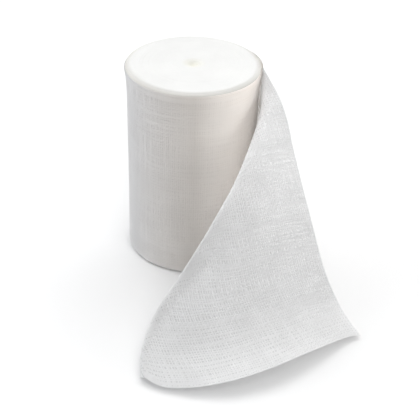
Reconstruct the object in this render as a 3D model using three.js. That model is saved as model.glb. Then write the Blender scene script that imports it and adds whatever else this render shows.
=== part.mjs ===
// A bandage roll that stands on its end, with the loose end of its strip fallen open beside it.
// Millimetres, +Z up. The origin is the middle of the roll's lower end, and the loose end runs towards -Y.
import * as THREE from 'three';

// Driving dimensions
const STRIP_WIDTH = 100;
const ROLL_RADIUS = 33;
const SHEET_THICKNESS = 1.2;
const CLEARANCE = 0.3;

// The outermost turn ends in a step, where the loose end starts. Degrees clockwise from +X, seen from above.
const STEP_ANGLE = 4.4;
const START_OFFSET = 0.65;
const FULL_TURN = 360;

// The upper end of the roll dips a little at the middle of the winding
const DIMPLE_RADIUS = 5;
const DIMPLE_DEPTH = 1.2;

// Height of the loose end's lower edge, at the middle of its thickness
const FOOT_HEIGHT = 0.7;

// The most of a leg that the rounding of the ridge may take
const FOLD_SHARE = 0.48;

// Make the bow and the crown of the fallen part one high. They peak at one third and at four sevenths of the
// way from its ridge to its lip.
const BOW_SCALE = 27 / 4;
const CROWN_SCALE = (7 / 4) ** 2 * (7 / 3) ** 1.5;

// How far the crown of the fallen part is carried forward, for its lift
const CROWN_LEAN = 1.12;

// How finely the surfaces are divided, and how tightly the curves follow their points
const TURN_STEPS = 80;
const ALONG_STEPS = 34;
const STANDING_STEPS = 10;
const FOLD_STEPS = 8;
const FALLEN_STEPS = 14;
const CURVE_TENSION = 0.5;

const CLOTH_ROUGHNESS = 0.95;
const ROLL_COLOUR = 0xe9e5e0;
const LOOSE_END_COLOUR = 0xe4e4e2;

// The side of the roll, from its lower end up: a soft shoulder, a slight waist and a flared rim
const ROLL_SIDE = [
  { height: 0, inset: 1.4 },
  { height: 0.5, inset: 0.6 },
  { height: 1.8, inset: 0.4 },
  { height: 45, inset: 0.8 },
  { height: 90, inset: 0.5 },
  { height: 98.6, inset: 0 },
  { height: 99.7, inset: 0.4 },
  { height: STRIP_WIDTH, inset: 1.2 },
];

const ACROSS_STEPS = STANDING_STEPS + FOLD_STEPS + FALLEN_STEPS;
const STEP_FOOT_RADIUS = ROLL_RADIUS - SHEET_THICKNESS - CLEARANCE;
const START_RADIUS = ROLL_RADIUS - SHEET_THICKNESS / 2;
const START_ANGLE = THREE.MathUtils.degToRad(STEP_ANGLE) + START_OFFSET / ROLL_RADIUS;
const START = [START_RADIUS * Math.cos(START_ANGLE), -START_RADIUS * Math.sin(START_ANGLE)];

// Sections across the loose end, from the roll to the cut end. The strip stands on its foot, folds over
// at its ridge and falls to its lip, which is the strip's upper edge. fold is the length of each leg that
// the rounding of the ridge takes, crown lifts the fallen part and bow carries it forward.
const SECTIONS = [
  { foot: START, ridge: [...START, 96], lip: [...START, STRIP_WIDTH], fold: 2, crown: 0, bow: 0 },
  { foot: [30.9, -25], ridge: [30.3, -20, 86.5], lip: [41.4, -17.9, 87.6], fold: 6, crown: 0, bow: 0 },
  { foot: [20.1, -44.5], ridge: [19.2, -43.5, 70], lip: [47.7, -27.7, 67.4], fold: 12, crown: 0, bow: 0 },
  { foot: [7.2, -63], ridge: [4.3, -62, 52], lip: [54.5, -38.6, 46], fold: 16, crown: 0, bow: 1 },
  {
    foot: [-11.3, -83],
    ridge: [-15.6, -82, 26.5],
    lip: [62.4, -53, 22.5],
    fold: 16,
    crown: 1.5,
    bow: 5.5,
  },
  {
    foot: [-18.8, -97],
    ridge: [-21.3, -96.5, 10.5],
    lip: [70.8, -62.5, 6.5],
    fold: 12,
    crown: 4.8,
    bow: 7.2,
  },
  {
    foot: [-20.7, -110],
    ridge: [-18.5, -110.8, 2],
    lip: [78.3, -76.6, 2],
    fold: 2,
    crown: 7.2,
    bow: 8.9,
  },
];

// A closed solid from a list of corner points and a list of triangles
function solid(corners, triangles) {
  const geometry = new THREE.BufferGeometry().setFromPoints(corners);
  geometry.setIndex(triangles.flat());
  geometry.computeVertexNormals();
  return geometry;
}

// Two triangles for the four corners a, b, c, d in turn
function quad(a, b, c, d) {
  return [[a, b, c], [a, c, d]];
}

// One clockwise turn of a spiral, from the foot of its step to the top of it
function turnRing(height, footRadius, topRadius) {
  const ring = [];
  for (let step = 0; step <= TURN_STEPS; step += 1) {
    const turned = step / TURN_STEPS;
    const angle = -THREE.MathUtils.degToRad(STEP_ANGLE + FULL_TURN * turned);
    const radius = THREE.MathUtils.lerp(footRadius, topRadius, turned);
    ring.push(new THREE.Vector3(radius * Math.cos(angle), radius * Math.sin(angle), height));
  }
  return ring;
}

// The wound part of the strip: one spiral turn at each height, closed at both ends
function rollGeometry() {
  const side = ROLL_SIDE.map(({ height, inset }) => (
    turnRing(height, STEP_FOOT_RADIUS - inset, ROLL_RADIUS - inset)
  ));
  const dimple = turnRing(STRIP_WIDTH, DIMPLE_RADIUS - SHEET_THICKNESS, DIMPLE_RADIUS);
  const rings = [...side, dimple];
  const count = TURN_STEPS + 1;
  const corners = rings.flat();
  const triangles = [];
  for (let ring = 0; ring < rings.length - 1; ring += 1) {
    for (let step = 0; step < count; step += 1) {
      const next = (step + 1) % count;
      const low = ring * count;
      const high = low + count;
      triangles.push(...quad(low + step, high + step, high + next, low + next));
    }
  }
  const lowerMiddle = corners.push(new THREE.Vector3(0, 0, 0)) - 1;
  const upperMiddle = corners.push(new THREE.Vector3(0, 0, STRIP_WIDTH - DIMPLE_DEPTH)) - 1;
  const last = (rings.length - 1) * count;
  for (let step = 0; step < count; step += 1) {
    const next = (step + 1) % count;
    triangles.push([lowerMiddle, step, next]);
    triangles.push([upperMiddle, last + next, last + step]);
  }
  return solid(corners, triangles);
}

// A smooth curve through one column of the sections
function column(pick) {
  const points = SECTIONS.map((row) => new THREE.Vector3(...pick(row)));
  return new THREE.CatmullRomCurve3(points, false, 'catmullrom', CURVE_TENSION);
}

const FOOT_CURVE = column((row) => [...row.foot, FOOT_HEIGHT]);
const RIDGE_CURVE = column((row) => row.ridge);
const LIP_CURVE = column((row) => row.lip);
const SHAPE_CURVE = column((row) => [row.fold, row.crown, row.bow]);

// Points evenly spaced on a straight line, without its first end
function straight(from, to, steps) {
  return new THREE.LineCurve3(from, to).getPoints(steps).slice(1);
}

// One section across the loose end: the standing leg, the rounded ridge and the fallen leg
function sectionAt(along) {
  const foot = FOOT_CURVE.getPoint(along);
  const ridge = RIDGE_CURVE.getPoint(along);
  const lip = LIP_CURVE.getPoint(along);
  const shape = SHAPE_CURVE.getPoint(along);
  const standing = foot.distanceTo(ridge);
  const fallen = ridge.distanceTo(lip);
  const fold = Math.min(shape.x, FOLD_SHARE * standing, FOLD_SHARE * fallen);
  const foldStart = ridge.clone().lerp(foot, fold / standing);
  const foldEnd = ridge.clone().lerp(lip, fold / fallen);
  const bend = new THREE.QuadraticBezierCurve3(foldStart, ridge, foldEnd).getPoints(FOLD_STEPS).slice(1);
  const fallenPart = straight(foldEnd, lip, FALLEN_STEPS);
  fallenPart.forEach((point, index) => {
    const way = (index + 1) / FALLEN_STEPS;
    const forward = shape.z * BOW_SCALE * way * (1 - way) ** 2;
    const lift = shape.y * CROWN_SCALE * way ** 2 * (1 - way) ** 1.5;
    point.y -= forward + CROWN_LEAN * lift;
    point.z += lift;
  });
  return [foot, ...straight(foot, foldStart, STANDING_STEPS), ...bend, ...fallenPart];
}

// The direction square to the cloth at one point of its grid
function squareTo(grid, row, place) {
  const ahead = grid[Math.min(row + 1, ALONG_STEPS)][place];
  const behind = grid[Math.max(row - 1, 0)][place];
  const above = grid[row][Math.min(place + 1, ACROSS_STEPS)];
  const below = grid[row][Math.max(place - 1, 0)];
  return ahead.clone().sub(behind).cross(above.clone().sub(below)).normalize();
}

// The loose end: a sheet with half of its thickness on each side of the sections
function looseEndGeometry() {
  const grid = [];
  for (let row = 0; row <= ALONG_STEPS; row += 1) {
    grid.push(sectionAt(row / ALONG_STEPS));
  }
  const front = [];
  const back = [];
  grid.forEach((section, row) => section.forEach((point, place) => {
    const half = squareTo(grid, row, place).multiplyScalar(SHEET_THICKNESS / 2);
    front.push(point.clone().add(half));
    back.push(point.clone().sub(half));
  }));
  const width = ACROSS_STEPS + 1;
  const other = front.length;
  const triangles = [];
  for (let row = 0; row < ALONG_STEPS; row += 1) {
    for (let place = 0; place < ACROSS_STEPS; place += 1) {
      const a = row * width + place;
      const d = a + width;
      triangles.push(...quad(a, d, d + 1, a + 1));
      triangles.push(...quad(other + a, other + a + 1, other + d + 1, other + d));
    }
  }
  for (let row = 0; row < ALONG_STEPS; row += 1) {
    const foot = row * width;
    const lip = foot + ACROSS_STEPS;
    triangles.push(...quad(foot, other + foot, other + foot + width, foot + width));
    triangles.push(...quad(lip, lip + width, other + lip + width, other + lip));
  }
  for (let place = 0; place < ACROSS_STEPS; place += 1) {
    const end = ALONG_STEPS * width + place;
    triangles.push(...quad(place, place + 1, other + place + 1, other + place));
    triangles.push(...quad(end, other + end, other + end + 1, end + 1));
  }
  return solid([...front, ...back], triangles);
}

// A named piece of the strip
function clothPiece(name, geometry, colour) {
  const finish = { color: colour, roughness: CLOTH_ROUGHNESS, metalness: 0 };
  const material = new THREE.MeshStandardMaterial(finish);
  const mesh = new THREE.Mesh(geometry, material);
  mesh.name = name;
  return mesh;
}

const bandage = new THREE.Group();
bandage.add(clothPiece('roll', rollGeometry(), ROLL_COLOUR));
bandage.add(clothPiece('loose_end', looseEndGeometry(), LOOSE_END_COLOUR));

export default bandage;
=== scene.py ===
"""A crepe bandage roll standing on its end, its loose end fallen open beside it. Metres, +Z up."""
import math

import bpy
import numpy as np
from mathutils import Matrix, Vector


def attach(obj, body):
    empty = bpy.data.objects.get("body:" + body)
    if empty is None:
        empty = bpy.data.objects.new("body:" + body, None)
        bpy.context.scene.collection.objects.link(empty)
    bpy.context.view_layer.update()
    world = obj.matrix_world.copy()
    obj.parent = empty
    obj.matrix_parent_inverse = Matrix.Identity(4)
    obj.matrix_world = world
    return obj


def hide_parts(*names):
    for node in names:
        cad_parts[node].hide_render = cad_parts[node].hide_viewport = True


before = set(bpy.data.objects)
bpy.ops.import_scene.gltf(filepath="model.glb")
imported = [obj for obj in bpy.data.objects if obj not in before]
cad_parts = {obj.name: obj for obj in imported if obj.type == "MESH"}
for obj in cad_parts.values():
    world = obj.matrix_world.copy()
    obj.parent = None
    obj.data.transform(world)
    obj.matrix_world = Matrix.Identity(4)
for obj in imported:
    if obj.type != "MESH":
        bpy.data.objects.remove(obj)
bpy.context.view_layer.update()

# The strip and its roll
STRIP_WIDTH = 0.100
ROLL_RADIUS = 0.033
CAD_SHEET = 0.0012
STEP_ANGLE = math.radians(4.4)
START_OFFSET = 0.00065
FOOT_HEIGHT = 0.0007
LAYER_THICKNESS = 0.00033

# The fall of the loose end
FOLD_SHARE = 0.48
BOW_FALL = 2
BOW_SCALE = 27 / 4
CROWN_RISE = 2
CROWN_FALL = 1.5
CROWN_SCALE = (7 / 4) ** CROWN_RISE * (7 / 3) ** CROWN_FALL
CROWN_LEAN = 1.12

# The threads
THREAD_PITCH = 0.00105
WARP_HALF_WIDTH = 0.00032
WEFT_HALF_WIDTH = 0.00030
EDGE_PLACE = 0.3
BAND_CORNERS = 3
THREAD_ARCH = 0.00006
WEAVE_LIFT = 0.00008
HAZE_DEPTH = 0.00006

# How uneven the threads lie, in thread pitches, and over how many threads each unevenness runs
WEFT_SHIFT = 0.34
WARP_SHIFT = 0.20
WEFT_WANDER = 0.26
WEFT_WANDER_RUN = 7
WARP_WANDER = 0.22
WARP_WANDER_RUN = 9
BUNCHING = 0.45
BUNCH_WEFTS = 5
BUNCH_WARPS = 13
EDGE_THREADS = 2

# How uneven the threads are in width, as shares of it
WEFT_UNEVEN = 0.26
WEFT_THICK = 0.30
WEFT_THICK_RUN = 7
SLUB_CHANCE = 0.30
SLUB_THICK = 0.9
SLUB_RUN = 14
WARP_UNEVEN = 0.16
WARP_THICK = 0.2
WARP_THICK_RUN = 7
CUT_THICK = 1.3
WEFT_SIZES = (0.65, 2.0)
WARP_SIZES = (0.7, 1.5)

# How much of the unevenness of its weft and warp each strip has
LOOSE_SHARES = (1.0, 1.0)
TURN_SHARES = (0.4, 1.8)

# The loose end's soft waves, its rounded corner and its drawn-out tip
WAVES_ALONG = 5
WAVES_ACROSS = 4
WAVE_HEIGHT = 0.0004
CORNER_POWER = 12
CORNER_RADIUS = 0.012
TIP_WIDTH = 0.005
TIP_REACH = 0.0014

# The ends of the roll and the edges of its outermost turn
TURN_PITCH = 0.00066
TURN_GROOVE = 0.00007
GROOVE_POWER = 6
TURN_UNEVEN = 0.00008
BLEND_FROM = 0.35
BLEND_SHARE = 0.3
RIM_BAND = 0.0036
RIM_DROP = 0.0018
RIM_POWER = 1.25
LOWER_SHARE = 0.75
CORE_RADIUS = 0.0028
CORE_DEPTH = 0.0016
TURN_EDGE = 0.0984
TURN_FOOT = 0.0015
TURN_FRAY = 0.0013
LEAVING_SHARE = 0.12
BODY_INSET = 0.00025
END_NORMAL = 0.5

# The side of the roll: how far it lies inside its radius at each height
SIDE_HEIGHTS = (0.0, 0.0005, 0.0018, 0.045, 0.086, 0.094, 0.0986, 0.100)
SIDE_INSETS = (0.0010, 0.0005, 0.0004, 0.0008, 0.0009, 0.0005, 0.0, 0.0001)

# How finely the surfaces are divided
ROUND_STEPS = 144
END_STEPS = 200
SIDE_STEPS = 60
GRID_ALONG = 320
GRID_ACROSS = 300
LEG_STEPS = 120
BEND_STEPS = 60
HAZE_ALONG = 90
HAZE_ACROSS = 70
TINY = 1e-12

# Seeds of the unevenness
WAVE_SEED = 31
TURN_SEED = 11
LOOSE_SEED = 23
END_SEED = 5

# Cotton: the darkest and lightest colour, the share of light let through, and the share that is open
OPEN_COTTON = ((0.815, 0.815, 0.815), (0.875, 0.875, 0.875))
OPEN_THROUGH = 0.42
HAZE_COTTON = ((0.815, 0.815, 0.815), (0.91, 0.91, 0.91))
HAZE_OPEN = 0.22
TURN_COTTON = ((0.94, 0.94, 0.94), (0.98, 0.98, 0.98))
TURN_THROUGH = 0.12
SIDE_COTTON = ((0.90, 0.90, 0.90), (0.95, 0.95, 0.95))
END_COTTON = ((0.64, 0.64, 0.63), (0.68, 0.68, 0.67))
THREAD_FLECKS = 90
HAZE_FLECKS = 260
BODY_FLECKS = 60
FLECK_DETAIL = 4.0
FLECK_RANGE = (0.3, 0.7)
FIBRE_SCALE = 14
FIBRE_DETAIL = 2.0
THREAD_BUMP = 0.00005
BODY_BUMP = 0.0001
BUMP_STRENGTH = 0.4
ROUGHNESS_RANGE = (0.85, 1.0)
SHEEN = 0.25
SHEEN_ROUGHNESS = 0.6
SPECULAR_LEVEL = 0.2

# The roll's cloth is painted darker at its left and back and lighter at its front right, as painted shade
# and painted light, with a warmer hue at its front right; its ends are creamy at the middle and painted
# darker at the rim, as painted shade. Each tint has its place in metres from the roll's axis, towards the
# front right on the side and outwards on the ends.
PAINTED_LIGHT_SIDE = (math.sqrt(0.5), -math.sqrt(0.5), 0)
# Painted shade at the left and back, less of it at the middle, and painted light at the front right, each
# with its own hue
SIDE_SHADE_TINT = (0.740, 0.733, 0.732)
SIDE_HALF_SHADE_TINT = (0.760, 0.722, 0.683)
SIDE_LIGHT_TINT = (1.0, 0.958, 0.915)
SIDE_LIGHT_AND_SHADE_TINTS = ((-0.010, SIDE_SHADE_TINT), (0.023, SIDE_HALF_SHADE_TINT), (0.0315, SIDE_LIGHT_TINT))
LEVEL = (1, 1, 0)
CREAM_TINT = (1.0, 0.985, 0.88)
PLAIN_TINT = (1.0, 1.0, 1.0)
# The rim tint is painted shade on the sloping rim band of the ends, with a creamy hue
RIM_SHADE_TINT = (0.74, 0.715, 0.67)
END_CREAM_AND_RIM_SHADE_TINTS = ((0.0, CREAM_TINT), (0.006, PLAIN_TINT), (0.0288, PLAIN_TINT), (0.0325, RIM_SHADE_TINT))

# The floor, the surround and the lights: name, place, target, size, watts and colour
FLOOR_HALF = 3.0
FLOOR_GREY = 0.8
FLOOR_ROUGHNESS = 1.0
SURROUND = 0.08
WHITE = (1.0, 1.0, 1.0)
PALE_BLUE = (0.95, 0.975, 1.0)
FLOOR_AIM = (0.0, -0.03, 0.03)
ROLL_AIM = (0.01, -0.03, 0.05)
LIGHTS = (
    ("above", (0.0, 0.1, 0.9), FLOOR_AIM, 1.0, 3.6, WHITE),
    ("behind", (-0.30, 0.55, 0.8), FLOOR_AIM, 1.2, 6.3, WHITE),
    ("behind_right", (0.45, 0.45, 0.75), FLOOR_AIM, 0.8, 2.8, WHITE),
    ("right", (0.75, -0.05, 0.25), ROLL_AIM, 0.5, 1.6, WHITE),
    ("right_low", (0.70, -0.35, 0.12), ROLL_AIM, 0.3, 0.35, WHITE),
    ("left", (-0.75, -0.25, 0.3), ROLL_AIM, 0.5, 2.4, PALE_BLUE),
    ("left_back", (-0.75, 0.10, 0.3), ROLL_AIM, 0.5, 1.5, PALE_BLUE),
    ("front_high", (0.25, -0.55, 0.85), ROLL_AIM, 0.5, 2.5, WHITE),
    ("front_right", (0.45, -0.7, 0.45), ROLL_AIM, 0.5, 0.5, WHITE),
)
GLOW_PLACE = (-0.12, -0.50, 0.42)
GLOW_AIM = (0.033, -0.023, 0.069)
GLOW_ANGLE = math.radians(7.5)
GLOW_BLEND = 1.0
GLOW_RADIUS = 0.03
GLOW_WATTS = 4.4
DIFFUSE_BOUNCES = 12
ALL_BOUNCES = 16

# The camera, fitted to the photograph's 420 by 420 frame
IMAGE_SIDE = 420
FOCAL_PIXELS = 900
SENSOR_MM = 36
CLIP_START = 0.01
CAMERA_PLACE = (0.0, -0.3834, 0.2829)
CAMERA_YAW = math.radians(1.48)
CAMERA_PITCH = math.radians(34.77)
CAMERA_ROLL = math.radians(1.86)

START_RADIUS = ROLL_RADIUS - CAD_SHEET / 2
START_ANGLE = STEP_ANGLE + START_OFFSET / ROLL_RADIUS
START_X = START_RADIUS * math.cos(START_ANGLE)
START_Y = -START_RADIUS * math.sin(START_ANGLE)
TURN_START_RADIUS = START_RADIUS - LAYER_THICKNESS
TURN_LENGTH = 2 * math.pi * START_RADIUS

# Sections across the loose end, from the roll to the cut end, as in the CAD part:
# foot x, y, ridge x, y, z, lip x, y, z, and the fold, crown and bow of the section.
# SECTION_PARTS holds the columns at which the ridge, the lip and the fold start.
SECTION_PARTS = (2, 5, 8)
SECTIONS = np.array([
    (START_X, START_Y, START_X, START_Y, 0.096, START_X, START_Y, STRIP_WIDTH, 0.002, 0, 0),
    (0.0309, -0.0250, 0.0303, -0.0200, 0.0865, 0.0414, -0.0179, 0.0876, 0.006, 0, 0),
    (0.0201, -0.0445, 0.0192, -0.0435, 0.0700, 0.0477, -0.0277, 0.0674, 0.012, 0, 0),
    (0.0072, -0.0630, 0.0043, -0.0620, 0.0520, 0.0545, -0.0386, 0.0460, 0.016, 0, 0.001),
    (-0.0113, -0.0830, -0.0156, -0.0820, 0.0265, 0.0624, -0.0530, 0.0225, 0.016, 0.0015, 0.0055),
    (-0.0188, -0.0970, -0.0213, -0.0965, 0.0105, 0.0708, -0.0625, 0.0065, 0.012, 0.0048, 0.0072),
    (-0.0207, -0.1100, -0.0185, -0.1108, 0.0020, 0.0783, -0.0766, 0.0020, 0.002, 0.0072, 0.0089),
])


def smooth_steps(count, run):
    """For each of count steps, the knot before it and the smooth share of the way to the next knot."""
    place = np.arange(count) / run
    low = place.astype(int)
    return low, (1 - np.cos(np.pi * (place - low))) / 2


def smooth_field(rng, shape, runs):
    """Smooth random values between -1 and 1, with a new value every few rows and every few columns."""
    low_row, row_part = smooth_steps(shape[0], runs[0])
    low_column, column_part = smooth_steps(shape[1], runs[1])
    knots = rng.uniform(-1, 1, (low_row[-1] + 2, low_column[-1] + 2))
    rows = knots[low_row] * (1 - row_part)[:, None] + knots[low_row + 1] * row_part[:, None]
    return rows[:, low_column] * (1 - column_part) + rows[:, low_column + 1] * column_part


def unit(vectors):
    """The vectors of a grid at a length of one."""
    return vectors / np.maximum(np.linalg.norm(vectors, axis=-1, keepdims=True), TINY)


def section_row(along):
    """The section's eleven sizes at a share of the way along, on a smooth curve through the table."""
    spans = len(SECTIONS) - 1
    place = along * spans
    index = min(int(place), spans - 1)
    part = place - index
    here, there = SECTIONS[index], SECTIONS[index + 1]
    before = SECTIONS[index - 1] if index > 0 else 2 * here - there
    after = SECTIONS[index + 2] if index + 2 <= spans else 2 * there - here
    leave, arrive = (there - before) / 2, (after - here) / 2
    cubic = 2 * here - 2 * there + leave + arrive
    square = 3 * there - 3 * here - 2 * leave - arrive
    return ((cubic * part + square) * part + leave) * part + here


def section_chain(row):
    """The points of one section in turn: foot, standing leg, rounded ridge and fallen leg."""
    foot_place, ridge, lip, (fold_size, crown, bow) = np.split(row, SECTION_PARTS)
    foot = np.array((*foot_place, FOOT_HEIGHT))
    standing = np.linalg.norm(ridge - foot)
    fallen = np.linalg.norm(lip - ridge)
    fold = min(fold_size, FOLD_SHARE * standing, FOLD_SHARE * fallen)
    fold_start = ridge + (foot - ridge) * fold / standing
    fold_end = ridge + (lip - ridge) * fold / fallen
    bend = np.linspace(0, 1, BEND_STEPS)[1:, None]
    rounded = (1 - bend) ** 2 * fold_start + 2 * bend * (1 - bend) * ridge + bend ** 2 * fold_end
    way = np.linspace(0, 1, LEG_STEPS)[1:]
    forward = bow * BOW_SCALE * way * (1 - way) ** BOW_FALL
    lift = crown * CROWN_SCALE * way ** CROWN_RISE * (1 - way) ** CROWN_FALL
    fallen_part = fold_end + (lip - fold_end) * way[:, None]
    fallen_part[:, 1] -= forward + CROWN_LEAN * lift
    fallen_part[:, 2] += lift
    return np.concatenate([[foot], [fold_start], rounded, fallen_part])


def section_line(along):
    """One line across the loose end, from foot to lip, with its points evenly spaced."""
    chain = section_chain(section_row(along))
    reach = np.concatenate([[0], np.cumsum(np.linalg.norm(np.diff(chain, axis=0), axis=1))])
    even = np.linspace(0, reach[-1], GRID_ACROSS)
    return np.stack([np.interp(even, reach, values) for values in chain.T], axis=1)


def loose_end_grid():
    """The loose end's points on an even grid, along by across, and its length along the middle."""
    rough = np.array([section_line(along) for along in np.linspace(0, 1, GRID_ALONG)])
    stride = np.linalg.norm(np.diff(rough, axis=0), axis=2).mean(axis=1)
    reach = np.concatenate([[0], np.cumsum(stride)])
    shares = np.interp(np.linspace(0, reach[-1], GRID_ALONG), reach, np.linspace(0, 1, GRID_ALONG))
    return np.array([section_line(share) for share in shares]), reach[-1]


def slow_waves():
    """Soft uneven waves of the loose end, none where it leaves the roll, on the grid of its surface."""
    rng = np.random.default_rng(WAVE_SEED)
    shape = (GRID_ALONG, GRID_ACROSS)
    waves = smooth_field(rng, shape, (GRID_ALONG / WAVES_ALONG, GRID_ACROSS / WAVES_ACROSS))
    return WAVE_HEIGHT * waves * np.sqrt(np.linspace(0, 1, GRID_ALONG))[:, None]


LOOSE_GRID, LOOSE_LENGTH = loose_end_grid()
LOOSE_SQUARE = unit(np.cross(np.gradient(LOOSE_GRID, axis=0), np.gradient(LOOSE_GRID, axis=1)))
LOOSE_WAVES = slow_waves()[:, :, None]


def on_grid(grid, along, across):
    """Values of a grid at places from 0 to 1 along and across it."""
    rows, columns = grid.shape[0] - 1, grid.shape[1] - 1
    row = np.clip((along * rows).astype(int), 0, rows - 1)
    column = np.clip((across * columns).astype(int), 0, columns - 1)
    row_part = (along * rows - row)[..., None]
    column_part = (across * columns - column)[..., None]
    low = grid[row, column] * (1 - row_part) + grid[row + 1, column] * row_part
    high = grid[row, column + 1] * (1 - row_part) + grid[row + 1, column + 1] * row_part
    return low * (1 - column_part) + high * column_part


def loose_surface(along, across):
    """Points and outward directions of the loose end, at metres from the roll and from the foot."""
    late = np.clip(along / LOOSE_LENGTH, 0, 1) ** CORNER_POWER
    inwards = np.clip(1 - across / CORNER_RADIUS, 0, 1)
    corner = CORNER_RADIUS * (1 - np.sqrt(1 - inwards ** 2))
    tip = TIP_REACH * np.clip(1 - (STRIP_WIDTH - across) / TIP_WIDTH, 0, 1) ** 2
    along_share = (along + late * (tip - corner)) / LOOSE_LENGTH
    across_share = across / STRIP_WIDTH
    square = on_grid(LOOSE_SQUARE, along_share, across_share)
    waves = on_grid(LOOSE_WAVES, along_share, across_share)
    return on_grid(LOOSE_GRID, along_share, across_share) + square * waves, square


def side_inset(height):
    """How far the roll's side lies inside its radius at a height."""
    return np.interp(height, SIDE_HEIGHTS, SIDE_INSETS)


def turn_surface(along, across):
    """Points and outward directions of the outermost turn, at metres from its start and from the foot."""
    turned = along / TURN_LENGTH
    angle = -START_ANGLE - 2 * math.pi * turned
    out = np.stack([np.cos(angle), np.sin(angle), np.zeros_like(angle)], axis=-1)
    fade = np.clip((1 - turned) / LEAVING_SHARE, 0, 1)
    top = STRIP_WIDTH + (TURN_EDGE - STRIP_WIDTH) * fade
    foot = FOOT_HEIGHT + (TURN_FOOT - FOOT_HEIGHT) * fade
    height = foot + across / STRIP_WIDTH * (top - foot)
    radius = TURN_START_RADIUS + LAYER_THICKNESS * turned - side_inset(height) * fade
    points = out * radius[..., None]
    points[..., 2] = height
    return points, out


def thread_shifts(rng, shape, shares):
    """How far the threads lie off their even places at each crossing, in thread pitches, weft and warp."""
    wefts, warps = shape
    weft_shift = WEFT_SHIFT * rng.uniform(-1, 1, (wefts, 1))
    weft_shift = weft_shift + WEFT_WANDER * smooth_field(rng, shape, (1, WEFT_WANDER_RUN))
    weft_shift += BUNCHING * smooth_field(rng, shape, (BUNCH_WEFTS, BUNCH_WARPS))
    weft_shift *= shares[0]
    weft_shift[-EDGE_THREADS:] = 0
    warp_shift = WARP_SHIFT * rng.uniform(-1, 1, (1, warps))
    warp_shift = warp_shift + WARP_WANDER * smooth_field(rng, shape, (WARP_WANDER_RUN, 1))
    warp_shift *= shares[1]
    warp_shift[:, :EDGE_THREADS] = 0
    warp_shift[:, -EDGE_THREADS:] = 0
    return weft_shift, warp_shift


def thread_sizes(rng, shape, shares):
    """How wide the threads are at each crossing, as shares of their width, weft and warp."""
    wefts, warps = shape
    slubs = rng.uniform(0, 1, (wefts, 1)) < SLUB_CHANCE
    slubs = SLUB_THICK * slubs * np.clip(smooth_field(rng, shape, (1, SLUB_RUN)), 0, 1)
    weft_uneven = WEFT_UNEVEN * rng.standard_normal((wefts, 1))
    weft_uneven = weft_uneven + WEFT_THICK * smooth_field(rng, shape, (1, WEFT_THICK_RUN))
    weft_size = 1 + shares[0] * (weft_uneven + slubs)
    weft_size[-EDGE_THREADS:] = CUT_THICK
    warp_uneven = WARP_UNEVEN * rng.standard_normal((1, warps))
    warp_uneven = warp_uneven + WARP_THICK * smooth_field(rng, shape, (WARP_THICK_RUN, 1))
    warp_size = 1 + shares[1] * warp_uneven
    return np.clip(weft_size, *WEFT_SIZES), np.clip(warp_size, *WARP_SIZES)


def woven_places(length, seed, shares):
    """Where the weft and warp threads of a strip lie, and their sizes at each crossing.

    The shares scale the unevenness of the weft and of the warp.
    """
    rng = np.random.default_rng(seed)
    shape = (int(length / THREAD_PITCH), int(STRIP_WIDTH / THREAD_PITCH))
    edge = EDGE_PLACE * THREAD_PITCH
    along = np.linspace(THREAD_PITCH / 2, length - edge, shape[0])[:, None]
    across = np.linspace(edge, STRIP_WIDTH - edge, shape[1])[None, :]
    weft_shift, warp_shift = thread_shifts(rng, shape, shares)
    weft_size, warp_size = thread_sizes(rng, shape, shares)
    return along + THREAD_PITCH * weft_shift, across + THREAD_PITCH * warp_shift, weft_size, warp_size


def thread_bands(points, square, sizes, half_width):
    """Corners and faces of slightly arched flat threads, one for each row of points."""
    count, steps = points.shape[:2]
    aside = unit(np.cross(np.gradient(points, axis=1), square))
    wide = aside * (half_width * sizes)[..., None]
    corners = np.stack([points + wide, points + square * THREAD_ARCH, points - wide], axis=2)
    index = np.arange(count * steps * BAND_CORNERS).reshape(count, steps, BAND_CORNERS)
    quads = np.stack([index[:, :-1, :-1], index[:, :-1, 1:], index[:, 1:, 1:], index[:, 1:, :-1]], axis=-1)
    return corners.reshape(-1, 3), quads.reshape(-1, 4)


def woven_strip(name, surface, length, seed, shares, fray=0.0):
    """A strip of threads, each over and under the ones that cross it, with its weft frayed at the foot."""
    weft_at, warp_at, weft_size, warp_size = woven_places(length, seed, shares)
    wefts, warps = weft_at.shape
    over = 1 - 2 * ((np.arange(wefts)[:, None] + np.arange(warps)[None, :]) % 2)
    weft_across = np.repeat(warp_at.mean(axis=0)[None, :], wefts, axis=0)
    weft_across[:, 0] -= fray * np.random.default_rng(seed).uniform(0, 1, wefts)
    warp_along = np.repeat(weft_at.mean(axis=1)[:, None], warps, axis=1)
    corners, faces, places, first = [], [], [], 0
    for along, across, lift, sizes, half_width, is_warp in (
        (weft_at, weft_across, -over, weft_size, WEFT_HALF_WIDTH, False),
        (warp_along, warp_at, over, warp_size, WARP_HALF_WIDTH, True),
    ):
        points, square = surface(along, across)
        points = points + square * (lift * WEAVE_LIFT)[..., None]
        place = np.stack([along / length, across / STRIP_WIDTH], axis=-1)
        if is_warp:
            points, square = points.swapaxes(0, 1), square.swapaxes(0, 1)
            sizes, place = sizes.swapaxes(0, 1), place.swapaxes(0, 1)
        thread_corners, thread_faces = thread_bands(points, square, sizes, half_width)
        corners.append(thread_corners)
        faces.append(thread_faces + first)
        places.append(np.repeat(place.reshape(-1, 2), BAND_CORNERS, axis=0))
        first += len(thread_corners)
    faces = np.concatenate(faces).tolist()
    return mesh_object(name, np.concatenate(corners), faces, np.concatenate(places))


def mesh_object(name, corners, faces, places=None):
    """A smooth mesh object in the scene, with a map of the strip where its places are given."""
    mesh = bpy.data.meshes.new(name)
    mesh.from_pydata(corners.tolist(), [], faces)
    mesh.polygons.foreach_set("use_smooth", np.ones(len(mesh.polygons), dtype=bool))
    if places is not None:
        layer = mesh.uv_layers.new(name="OFBake")
        loops = np.empty(len(mesh.loops), dtype=np.int32)
        mesh.loops.foreach_get("vertex_index", loops)
        layer.data.foreach_set("uv", np.clip(places[loops], 0, 1).astype(np.float32).ravel())
    mesh.update()
    piece = bpy.data.objects.new(name, mesh)
    bpy.context.scene.collection.objects.link(piece)
    return piece


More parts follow.
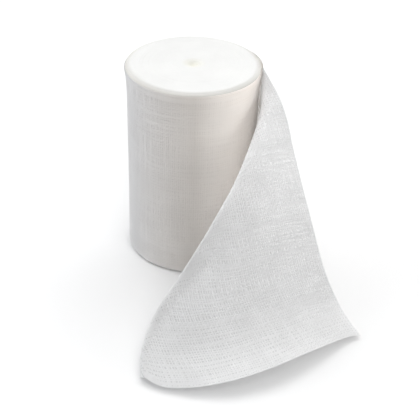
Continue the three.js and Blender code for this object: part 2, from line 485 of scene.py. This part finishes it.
def fibre_haze():
    """The loose fibres between the loose end's threads, as one thin sheer sheet just inside them."""
    along = np.linspace(0, LOOSE_LENGTH, HAZE_ALONG)
    across = np.linspace(0, STRIP_WIDTH, HAZE_ACROSS)
    along, across = np.meshgrid(along, across, indexing="ij")
    points, square = loose_surface(along, across)
    corners = (points - square * HAZE_DEPTH).reshape(-1, 3)
    index = np.arange(along.size).reshape(along.shape)
    quads = np.stack([index[:-1, :-1], index[:-1, 1:], index[1:, 1:], index[1:, :-1]], axis=-1)
    place = np.stack([along / LOOSE_LENGTH, across / STRIP_WIDTH], axis=-1)
    return mesh_object("fibre_haze", corners, quads.reshape(-1, 4).tolist(), place.reshape(-1, 2))


def end_relief(radius, angle, rng):
    """How far the turn edges of a roll's end lie below its highest edge."""
    turns = radius / TURN_PITCH - angle / (2 * math.pi)
    whole = np.floor(turns).astype(int)
    groove = TURN_GROOVE * np.abs(np.cos(np.pi * turns)) ** GROOVE_POWER
    heights = rng.uniform(0, 1, whole.max() + 3)
    blend = np.clip((turns - whole - BLEND_FROM) / BLEND_SHARE, 0, 1)
    uneven = heights[whole + 1] * (1 - blend) + heights[whole + 2] * blend
    core = CORE_DEPTH * np.exp(-(radius / CORE_RADIUS) ** 2)
    rim = RIM_DROP * np.clip((radius - (ROLL_RADIUS - RIM_BAND)) / RIM_BAND, 0, 1) ** RIM_POWER
    return groove + TURN_UNEVEN * uneven + core + rim


def body_ring(angle, height):
    """One ring around the side of the wound body, under the outermost turn."""
    turned = (-angle - START_ANGLE) / (2 * math.pi) % 1
    radius = TURN_START_RADIUS + LAYER_THICKNESS * turned - side_inset(height) - BODY_INSET
    return np.stack([radius * np.cos(angle), radius * np.sin(angle), height], axis=-1)


def body_end(angle, level, towards_middle, rng):
    """The rings of one end of the wound body, from its middle to its edge."""
    edge = np.linalg.norm(body_ring(angle, np.full_like(angle, level))[:, :2], axis=1)
    radius = np.linspace(0, 1, END_STEPS)[1:, None] * edge
    relief = end_relief(radius, np.broadcast_to(-angle, radius.shape), rng)
    height = level + towards_middle * relief
    return np.stack([radius * np.cos(angle), radius * np.sin(angle), height], axis=-1)


def wound_body():
    """The wound body: its side, and both ends with the edges of their turns."""
    rng = np.random.default_rng(END_SEED)
    angle = -START_ANGLE - np.linspace(0, 2 * math.pi, ROUND_STEPS, endpoint=False)
    lower = body_end(angle, 0, LOWER_SHARE, rng)
    upper = body_end(angle, STRIP_WIDTH, -1, rng)[::-1]
    low, high = lower[-1, :, 2], upper[0, :, 2]
    side = [body_ring(angle, low + (high - low) * step) for step in np.linspace(0, 1, SIDE_STEPS + 1)[1:-1]]
    rings = np.concatenate([lower, side, upper])
    index = np.arange(rings.shape[0] * ROUND_STEPS).reshape(-1, ROUND_STEPS)
    following = np.roll(index, -1, axis=1)
    quads = np.stack([index[:-1], index[1:], following[1:], following[:-1]], axis=-1).reshape(-1, 4)
    middles = [(0, 0, LOWER_SHARE * CORE_DEPTH), (0, 0, STRIP_WIDTH - CORE_DEPTH)]
    corners = np.concatenate([rings.reshape(-1, 3), middles])
    lower_middle, upper_middle = index.size, index.size + 1
    faces = quads.tolist()
    faces += [(lower_middle, int(a), int(b)) for a, b in zip(index[0], following[0])]
    faces += [(upper_middle, int(b), int(a)) for a, b in zip(index[-1], following[-1])]
    return mesh_object("wound_body", corners, faces)


def node(tree, kind, **inputs):
    """A shader node with some of its inputs set."""
    made = tree.nodes.new(kind)
    for key, value in inputs.items():
        made.inputs[key.replace("_", " ")].default_value = value
    return made


def colour_ramp(tree, stops):
    """A ramp of colours, each at its place from 0 to 1."""
    ramp = tree.nodes.new("ShaderNodeValToRGB")
    elements = ramp.color_ramp.elements
    while len(elements) < len(stops):
        elements.new(1)
    for element, (place, colour) in zip(elements, stops):
        element.position = place
        element.color = (*colour, 1)
    return ramp


def cotton(name, colours, flecks, bump_distance):
    """Matte bleached cotton: slightly uneven in colour and roughness, with a fine fibre bump."""
    material = bpy.data.materials.new(name)
    material.use_nodes = True
    tree = material.node_tree
    shader = tree.nodes["Principled BSDF"]
    shader.inputs["Sheen Weight"].default_value = SHEEN
    shader.inputs["Sheen Roughness"].default_value = SHEEN_ROUGHNESS
    shader.inputs["Specular IOR Level"].default_value = SPECULAR_LEVEL
    place = tree.nodes.new("ShaderNodeTexCoord")
    fleck = node(tree, "ShaderNodeTexNoise", Scale=flecks, Detail=FLECK_DETAIL)
    fibre = node(tree, "ShaderNodeTexNoise", Scale=flecks * FIBRE_SCALE, Detail=FIBRE_DETAIL)
    ramp = colour_ramp(tree, tuple(zip(FLECK_RANGE, colours)))
    rough = node(tree, "ShaderNodeMapRange", To_Min=ROUGHNESS_RANGE[0], To_Max=ROUGHNESS_RANGE[1])
    bump = node(tree, "ShaderNodeBump", Strength=BUMP_STRENGTH, Distance=bump_distance)
    tree.links.new(place.outputs["Object"], fleck.inputs["Vector"])
    tree.links.new(place.outputs["Object"], fibre.inputs["Vector"])
    tree.links.new(fleck.outputs["Fac"], ramp.inputs["Fac"])
    tree.links.new(fleck.outputs["Fac"], rough.inputs["Value"])
    tree.links.new(fibre.outputs["Fac"], bump.inputs["Height"])
    tree.links.new(ramp.outputs["Color"], shader.inputs["Base Color"])
    tree.links.new(rough.outputs["Result"], shader.inputs["Roughness"])
    tree.links.new(bump.outputs["Normal"], shader.inputs["Normal"])
    return material


def base_colour(tree):
    """The socket that a material's base colour comes from."""
    return tree.nodes["Principled BSDF"].inputs["Base Color"].links[0].from_socket


def tint(tree, distance, stops):
    """Multiplies a material's base colour by a tint that changes with a distance, from stop to stop."""
    start, end = stops[0][0], stops[-1][0]
    share = node(tree, "ShaderNodeMapRange", From_Min=start, From_Max=end)
    ramp = colour_ramp(tree, [((place - start) / (end - start), colour) for place, colour in stops])
    tinted = tree.nodes.new("ShaderNodeVectorMath")
    tinted.operation = "MULTIPLY"
    tree.links.new(distance, share.inputs["Value"])
    tree.links.new(share.outputs["Result"], ramp.inputs["Fac"])
    tree.links.new(base_colour(tree), tinted.inputs[0])
    tree.links.new(ramp.outputs["Color"], tinted.inputs[1])
    tree.links.new(tinted.outputs["Vector"], tree.nodes["Principled BSDF"].inputs["Base Color"])


def paint_light_and_shade_across(material):
    """Painted shade at the roll's left and back, and painted light with a warmer hue at its front right."""
    tree = material.node_tree
    place = tree.nodes.new("ShaderNodeTexCoord")
    towards = tree.nodes.new("ShaderNodeVectorMath")
    towards.operation = "DOT_PRODUCT"
    towards.inputs[1].default_value = PAINTED_LIGHT_SIDE
    tree.links.new(place.outputs["Object"], towards.inputs[0])
    tint(tree, towards.outputs["Value"], SIDE_LIGHT_AND_SHADE_TINTS)
    return material


def tint_cream_and_rim_shade(material):
    """Creamier cloth at the middle of the roll's ends, and painted shade on the rim band of the ends."""
    tree = material.node_tree
    place = tree.nodes.new("ShaderNodeTexCoord")
    level = tree.nodes.new("ShaderNodeVectorMath")
    level.operation = "MULTIPLY"
    level.inputs[1].default_value = LEVEL
    length = tree.nodes.new("ShaderNodeVectorMath")
    length.operation = "LENGTH"
    tree.links.new(place.outputs["Object"], level.inputs[0])
    tree.links.new(level.outputs["Vector"], length.inputs[0])
    tint(tree, length.outputs["Value"], END_CREAM_AND_RIM_SHADE_TINTS)
    return material


def mixed_in(material, shader, share):
    """Mixes a second shader into a material's surface."""
    tree = material.node_tree
    surface = tree.nodes["Material Output"].inputs["Surface"]
    mix = node(tree, "ShaderNodeMixShader", Fac=share)
    tree.links.new(surface.links[0].from_socket, mix.inputs[1])
    tree.links.new(shader.outputs["BSDF"], mix.inputs[2])
    tree.links.new(mix.outputs["Shader"], surface)
    return material


def lit_through(material, share):
    """Lets a share of the light glow through the cloth."""
    glow = material.node_tree.nodes.new("ShaderNodeBsdfTranslucent")
    material.node_tree.links.new(base_colour(material.node_tree), glow.inputs["Color"])
    return mixed_in(material, glow, share)


def sheer(material, share):
    """Leaves a share of the cloth open."""
    return mixed_in(material, material.node_tree.nodes.new("ShaderNodeBsdfTransparent"), share)


def floor():
    """A plain pale floor."""
    sides = ((-1, -1), (1, -1), (1, 1), (-1, 1))
    corners = np.array([(x * FLOOR_HALF, y * FLOOR_HALF, 0) for x, y in sides])
    piece = mesh_object("floor", corners, [range(len(sides))])
    material = bpy.data.materials.new("floor_white")
    material.use_nodes = True
    shader = material.node_tree.nodes["Principled BSDF"]
    shader.inputs["Base Color"].default_value = (FLOOR_GREY, FLOOR_GREY, FLOOR_GREY, 1)
    shader.inputs["Roughness"].default_value = FLOOR_ROUGHNESS
    piece.data.materials.append(material)


def aimed(light, place, target):
    """Puts a light at a place and aims it at a target."""
    lamp = bpy.data.objects.new(light.name, light)
    lamp.location = place
    lamp.rotation_euler = (Vector(target) - Vector(place)).to_track_quat("-Z", "Y").to_euler()
    bpy.context.scene.collection.objects.link(lamp)


def area_light(name, place, target, size, watts, colour):
    """A soft square light at a place, aimed at a target."""
    light = bpy.data.lights.new(name, "AREA")
    light.size = size
    light.energy = watts
    light.color = colour
    aimed(light, place, target)


def glow_light():
    """A narrow soft light on the roll beside the fold."""
    light = bpy.data.lights.new("glow", "SPOT")
    light.spot_size = GLOW_ANGLE
    light.spot_blend = GLOW_BLEND
    light.shadow_soft_size = GLOW_RADIUS
    light.energy = GLOW_WATTS
    aimed(light, GLOW_PLACE, GLOW_AIM)


def lighting():
    """A dim white surround and the soft lights, with enough bounces for light between white folds."""
    scene = bpy.context.scene
    world = bpy.data.worlds.new("surround")
    world.use_nodes = True
    world.node_tree.nodes["Background"].inputs["Color"].default_value = (*WHITE, 1)
    world.node_tree.nodes["Background"].inputs["Strength"].default_value = SURROUND
    scene.world = world
    for light in LIGHTS:
        area_light(*light)
    glow_light()
    scene.cycles.diffuse_bounces = DIFFUSE_BOUNCES
    scene.cycles.max_bounces = ALL_BOUNCES
    scene.view_settings.view_transform = "Standard"
    scene.view_settings.look = "None"


def camera():
    """The camera at the photograph's place and angle."""
    sin, cos = math.sin, math.cos
    ahead = Vector((
        sin(CAMERA_YAW) * cos(CAMERA_PITCH),
        cos(CAMERA_YAW) * cos(CAMERA_PITCH),
        -sin(CAMERA_PITCH),
    ))
    level = Vector((cos(CAMERA_YAW), -sin(CAMERA_YAW), 0))
    upright = level.cross(ahead)
    right = level * cos(CAMERA_ROLL) + upright * sin(CAMERA_ROLL)
    up = upright * cos(CAMERA_ROLL) - level * sin(CAMERA_ROLL)
    lens = bpy.data.cameras.new("camera")
    lens.sensor_width = SENSOR_MM
    lens.lens = FOCAL_PIXELS / IMAGE_SIDE * SENSOR_MM
    lens.clip_start = CLIP_START
    viewer = bpy.data.objects.new("camera", lens)
    turned = Matrix((right, up, -ahead)).transposed()
    viewer.matrix_world = Matrix.Translation(CAMERA_PLACE) @ turned.to_4x4()
    bpy.context.scene.collection.objects.link(viewer)
    bpy.context.scene.camera = viewer


def dressed_body():
    """The wound body, with one cotton on its side and another on its ends."""
    body = wound_body()
    # The side cotton carries painted shade at the left and back and painted light at the front right; the
    # end cotton carries painted shade on its rim
    body.data.materials.append(paint_light_and_shade_across(cotton("side_cotton", SIDE_COTTON, BODY_FLECKS, BODY_BUMP)))
    body.data.materials.append(tint_cream_and_rim_shade(cotton("end_cotton", END_COTTON, BODY_FLECKS, BODY_BUMP)))
    for face in body.data.polygons:
        face.material_index = int(abs(face.normal.z) > END_NORMAL)
    return body


def dressed_turn():
    """The outermost turn of the roll."""
    turn = woven_strip("outermost_turn", turn_surface, TURN_LENGTH, TURN_SEED, TURN_SHARES, TURN_FRAY)
    # The outermost turn carries the same painted shade at the left and back and painted light at the front
    # right
    turn_cotton = paint_light_and_shade_across(cotton("turn_cotton", TURN_COTTON, THREAD_FLECKS, THREAD_BUMP))
    turn.data.materials.append(lit_through(turn_cotton, TURN_THROUGH))
    return turn


def dressed_loose_end():
    """The threads of the loose end, and the haze of fibres between them."""
    loose = woven_strip("loose_end_cloth", loose_surface, LOOSE_LENGTH, LOOSE_SEED, LOOSE_SHARES)
    open_cotton = cotton("open_cotton", OPEN_COTTON, THREAD_FLECKS, THREAD_BUMP)
    loose.data.materials.append(lit_through(open_cotton, OPEN_THROUGH))
    haze = fibre_haze()
    haze_cotton = lit_through(cotton("haze_cotton", HAZE_COTTON, HAZE_FLECKS, THREAD_BUMP), OPEN_THROUGH)
    haze.data.materials.append(sheer(haze_cotton, HAZE_OPEN))
    return loose, haze


def bandage():
    """The wound body, its outermost turn and the loose end."""
    body = dressed_body()
    turn = dressed_turn()
    loose, haze = dressed_loose_end()
    slots = ((body, "wound_cloth"), (turn, "wound_cloth"), (loose, "open_cloth"), (haze, "open_cloth"))
    for piece, slot in slots:
        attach(piece, "root")
    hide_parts("roll")
    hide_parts("loose_end")


camera()
bandage()
floor()
lighting()
